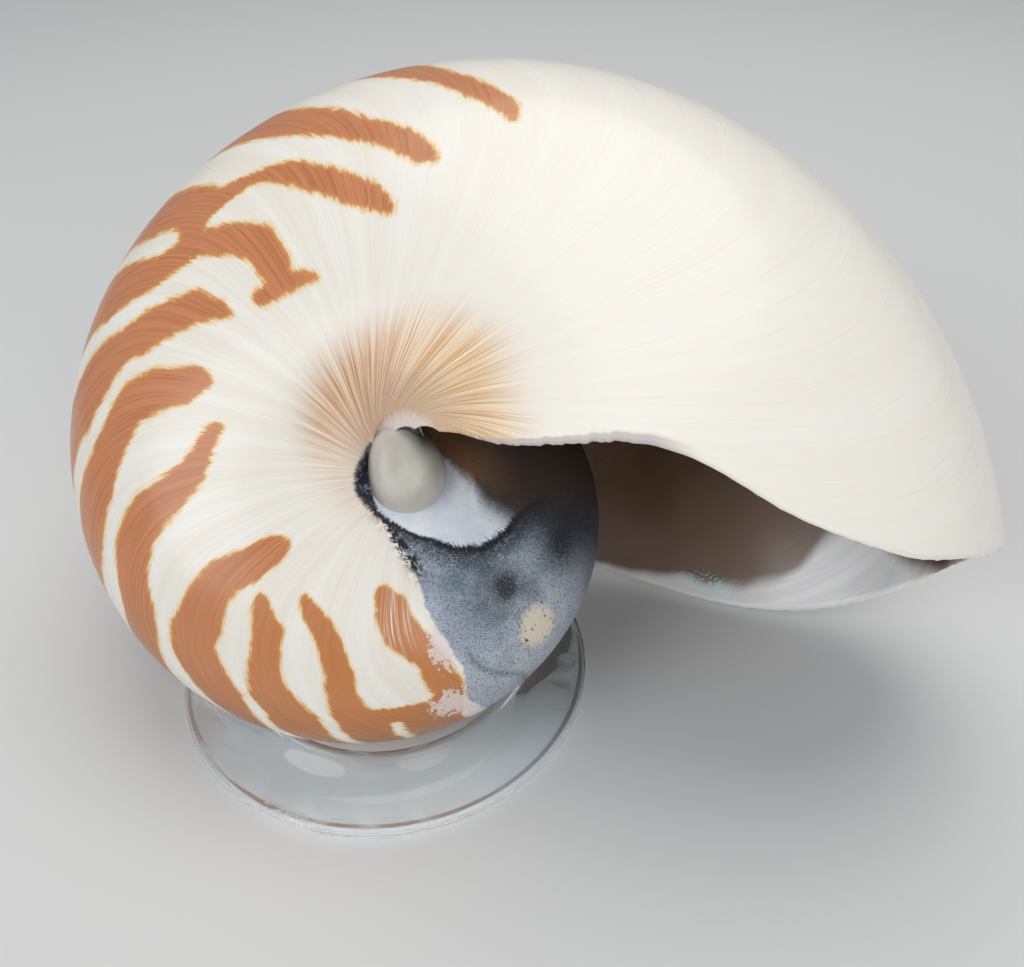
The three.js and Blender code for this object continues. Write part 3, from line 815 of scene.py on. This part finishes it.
def callus_enamel():
    """The callus: smooth, milky and slightly waxy, with painted shade where it runs in under the growth
    edge and into the umbilicus.
    """
    material, tree, surface = new_material("callus_enamel")
    spot_at = put(tree, "ShaderNodeTexCoord").outputs["Object"]
    milk = noise(tree, spot_at, 150.0, 3.0)
    colour = blend(tree, remap(tree, milk, 0.35, 0.65), (0.53, 0.505, 0.455), (0.61, 0.585, 0.53))
    # Painted shade: the callus turns near black where it runs in under the growth edge and into the
    # umbilicus.
    colour = blend(tree, attribute(tree, "callus_shade"), colour, (0.045, 0.043, 0.047))
    tree.links.new(colour, surface.inputs["Base Color"])
    tree.links.new(remap(tree, milk, 0.3, 0.7, 0.30, 0.40), surface.inputs["Roughness"])
    surface.inputs["Subsurface Weight"].default_value = 0.2
    surface.inputs["Subsurface Radius"].default_value = (0.004, 0.003, 0.002)
    relief(tree, surface, milk, 0.1, 0.0005)
    return material


for finish in (striped_porcelain(), mother_of_pearl(), callus_enamel()):
    shell.data.materials.append(finish)
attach(shell, "root")
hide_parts("nautilus_shell")


# ---------------------------------------------------------------------------------------------
# The display ring. One clear acrylic moulding: a flat foot, a thin upright outer edge, a dished
# flange that flares up to a rounded rim, an open bore, and one small moulded nub on the flange.

RING_RADIUS, RING_HEIGHT, RIM_RADIUS, BORE_RADIUS = 42.0, 7.3, 28.5, 26.9
NUB_RADIUS, NUB_PLACE = 2.0, (37.8, -1.5, 2.0)


def bezier(a, b, c, steps):
    t = np.linspace(0, 1, steps + 1)[1:, None]
    a, b, c = (np.array(p, float) for p in (a, b, c))
    return ((1 - t) ** 2 * a + 2 * t * (1 - t) * b + t**2 * c).tolist()


def ring_profile():
    foot, edge_top, edge_turn = 0.6, 2.7, 5
    outline = [[BORE_RADIUS + foot, 0], [RING_RADIUS - foot, 0]]

    def curve(through, to, steps):
        outline.extend(bezier(outline[-1], through, to, steps))

    curve((RING_RADIUS, 0), (RING_RADIUS, foot), edge_turn)
    for inwards, z in ((0, 1.35), (0.12, 1.45), (0.12, 1.6), (0, 1.7), (0, 2.2)):
        outline.append([RING_RADIUS - inwards, z])
    curve((RING_RADIUS, edge_top), (RING_RADIUS - 0.5, edge_top), edge_turn)
    curve((RING_RADIUS - 0.9, edge_top), (RING_RADIUS - 1.2, 2.5), 4)
    curve((RIM_RADIUS + 7, 1.9), (RIM_RADIUS + 3.4, 4.4), 18)
    curve((RIM_RADIUS + 1.9, 5.6), (RIM_RADIUS + 1.3, RING_HEIGHT - 0.9), 10)
    curve((RIM_RADIUS + 0.9, RING_HEIGHT), (RIM_RADIUS, RING_HEIGHT), 7)
    curve((RIM_RADIUS - 0.9, RING_HEIGHT), (BORE_RADIUS + 0.3, RING_HEIGHT - 1.4), 7)
    curve((BORE_RADIUS, RING_HEIGHT / 2), (BORE_RADIUS, foot), 10)
    curve((BORE_RADIUS, 0), (BORE_RADIUS + foot, 0), edge_turn)
    return np.array(outline[:-1])


profile = ring_profile()
ring_turn = np.linspace(0, 2 * math.pi, 360, endpoint=False)
ring_grid = np.stack([
    profile[None, :, 0] * np.cos(ring_turn)[:, None],
    profile[None, :, 0] * np.sin(ring_turn)[:, None],
    np.broadcast_to(profile[None, :, 1], (len(ring_turn), len(profile))),
], -1)
ring_count = len(profile)
r, c = np.meshgrid(np.arange(len(ring_turn)), np.arange(ring_count), indexing="ij")
r_next, c_next = (r + 1) % len(ring_turn), (c + 1) % ring_count
ring_faces = np.stack([
    r * ring_count + c, r * ring_count + c_next, r_next * ring_count + c_next, r_next * ring_count + c,
], -1).reshape(-1, 4)
nub_rows, nub_columns = 20, 40
nub_around, nub_down = np.meshgrid(
    np.linspace(0, 2 * math.pi, nub_columns, endpoint=False), np.linspace(0, math.pi, nub_rows + 2)[1:-1]
)
nub = np.array(NUB_PLACE) + NUB_RADIUS * np.stack([
    np.sin(nub_down) * np.cos(nub_around), np.sin(nub_down) * np.sin(nub_around), np.cos(nub_down),
], -1)
nub_ends = np.array(NUB_PLACE) + NUB_RADIUS * np.array([[0, 0, 1], [0, 0, -1]])
nub_first = ring_grid.reshape(-1, 3).shape[0]
nub_pole = nub_first + nub_rows * nub_columns
nub_faces = grid_faces(nub_rows, nub_columns, nub_first)[:, ::-1]
nub_caps = np.concatenate([
    cap_faces(nub_first, nub_columns, nub_pole, 1),
    cap_faces(nub_pole - nub_columns, nub_columns, nub_pole + 1, -1),
])
ring_points = np.concatenate([ring_grid.reshape(-1, 3), nub.reshape(-1, 3), nub_ends])
ring_quads = np.concatenate([ring_faces, nub_faces])
ring = new_object("display_ring_moulding", ring_points * MM + np.array(ring_centre),
                  ring_quads.tolist() + nub_caps.tolist())

# The frosted chip on the outer edge.
CHIP_ANGLE, CHIP_HALF_LENGTH = math.radians(-112), math.radians(9)
ring_angle = np.arctan2(ring_points[:, 1], ring_points[:, 0])
on_edge = ramp(np.hypot(ring_points[:, 0], ring_points[:, 1]), RING_RADIUS - 2.4, RING_RADIUS - 1.2) * ramp(
    ring_points[:, 2], 1.7, 2.2)
chip = (1 - ramp(np.abs(ring_angle - CHIP_ANGLE), 0.7 * CHIP_HALF_LENGTH, CHIP_HALF_LENGTH)) * on_edge
store(ring.data, "chip", chip)


def clear_acrylic():
    """Polished acrylic with light handling scratches, frosted at the chip. Light passes straight
    through it for shadows, and partly for the eye, so that it looks thin and clear."""
    material, tree, surface = new_material("clear_acrylic")
    spot_at = put(tree, "ShaderNodeTexCoord").outputs["Object"]
    scratch_at = put(tree, "ShaderNodeMapping", {"Vector": spot_at, "Scale": (40.0, 900.0, 40.0),
                                                 "Rotation": (0.0, 0.0, 0.6)}).outputs[0]
    scratches = remap(tree, noise(tree, scratch_at, 1.0, 2.0), 0.66, 0.74)
    haze = noise(tree, spot_at, 220.0, 3.0)
    grit = noise(tree, spot_at, 700.0, 3.0)
    frost = times(tree, attribute(tree, "chip"), remap(tree, grit, 0.38, 0.52))
    colour = blend(tree, scratches, (0.93, 0.96, 0.97), (0.99, 0.99, 0.99))
    tree.links.new(colour, surface.inputs["Base Color"])
    rough = calc(tree, "ADD", remap(tree, haze, 0.4, 0.8, 0.02, 0.07), times(tree, scratches, 0.25))
    rough = calc(tree, "MAXIMUM", rough, times(tree, frost, 0.75))
    tree.links.new(rough, surface.inputs["Roughness"])
    surface.inputs["Transmission Weight"].default_value = 1.0
    surface.inputs["IOR"].default_value = 1.49
    relief(tree, surface, scratches, 0.15, 0.0001)
    see_through = put(tree, "ShaderNodeBsdfTransparent", {"Color": (0.93, 0.95, 0.96, 1)})
    shadow_ray = put(tree, "ShaderNodeLightPath").outputs["Is Shadow Ray"]
    unfrosted = calc(tree, "SUBTRACT", 1.0, frost)
    clearness = calc(tree, "MAXIMUM", shadow_ray, times(tree, unfrosted, 0.32))
    shaders = {0: clearness, 1: surface.outputs[0], 2: see_through.outputs[0]}
    mixed = put(tree, "ShaderNodeMixShader", shaders)
    tree.links.new(mixed.outputs[0], tree.nodes["Material Output"].inputs["Surface"])
    return material


ring.data.materials.append(clear_acrylic())
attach(ring, "root")
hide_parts("display_ring")


# ---------------------------------------------------------------------------------------------
# The table, the light and the camera. A plain pale sheet, one large soft light overhead with a
# weaker one at each side, and the camera close in front, looking down at the shell's flank.

half, sheet_top = 3.0, -0.05 * MM
sheet_corners = np.array([[x * half, y * half, sheet_top] for x, y in ((-1, -1), (1, -1), (1, 1), (-1, 1))])
floor = new_object("table_sheet", sheet_corners, [(0, 1, 2, 3)], smooth=False)
sheet, _, sheet_surface = new_material("pale_sheet")
sheet_surface.inputs["Base Color"].default_value = (0.72, 0.73, 0.74, 1)
sheet_surface.inputs["Roughness"].default_value = 0.85
floor.data.materials.append(sheet)

room = bpy.data.worlds.new("soft_room")
room.use_nodes = True
room_light = room.node_tree.nodes["Background"]
room_light.inputs["Color"].default_value = (0.95, 0.97, 1.0, 1)
room_light.inputs["Strength"].default_value = 0.30
bpy.context.scene.world = room


LIT_POINT = Vector((0.03, 0.02, 0.05))


def soft_light(name, at, size, power, colour):
    lamp = bpy.data.lights.new(name, "AREA")
    lamp.shape, lamp.size = "DISK", size
    lamp.energy, lamp.color = power, colour
    holder = bpy.data.objects.new(name, lamp)
    holder.location = ring_centre + Vector(at)
    aim = ring_centre + LIT_POINT - holder.location
    holder.rotation_euler = aim.to_track_quat("-Z", "Y").to_euler()
    bpy.context.scene.collection.objects.link(holder)


soft_light("overhead", (0.10, 0.25, 0.85), 0.8, 3.4, (1.0, 0.98, 0.93))
soft_light("front_left", (-0.60, -0.55, 0.60), 0.6, 2.9, (0.98, 0.985, 1.0))
soft_light("front_right", (0.40, -0.80, 0.50), 0.6, 2.3, (1.0, 0.985, 0.95))

CAMERA_PLACE = Vector((26.4, -144.6, 165.7))
CAMERA_TILT = math.radians(51.19)
view = bpy.data.cameras.new("camera")
view.sensor_width, view.lens = 36.0, 35.58
view.clip_start, view.clip_end = 0.005, 20.0
camera = bpy.data.objects.new("camera", view)
camera.location = ring_centre + CAMERA_PLACE * MM
camera.rotation_euler = (CAMERA_TILT, 0, 0)
bpy.context.scene.collection.objects.link(camera)
bpy.context.scene.camera = camera

bpy.context.scene.view_settings.view_transform = "Standard"
